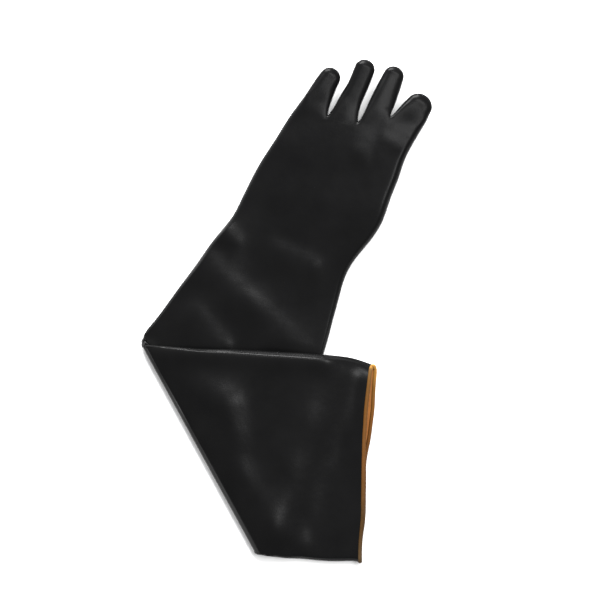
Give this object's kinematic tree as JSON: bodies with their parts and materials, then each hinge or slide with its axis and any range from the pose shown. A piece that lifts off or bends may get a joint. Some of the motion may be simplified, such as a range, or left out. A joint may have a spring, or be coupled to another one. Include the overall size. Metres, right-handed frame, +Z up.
{
  "type": "shoulder length rubber glove",
  "caption": "Long black rubber work glove with an orange lining, laid flat with its sleeve folded back over itself and its cuff open to one side.",
  "frame": {"origin": "middle of the glove's outline seen from above, on the floor it lies on", "axes": "+X towards the open cuff, +Y towards the fingertips, +Z up from the floor, out of the back of the hand"},
  "size_m": [0.3029, 0.5264, 0.0262],
  "materials": {
    "black_rubber": "satin",
    "orange_lining": "matte",
    "orange_bead": "satin"
  },
  "bodies": {
    "root": {"glove_body": "black_rubber", "lining": "orange_lining", "cuff_bead": "orange_bead"}
  },
  "joints": []
}
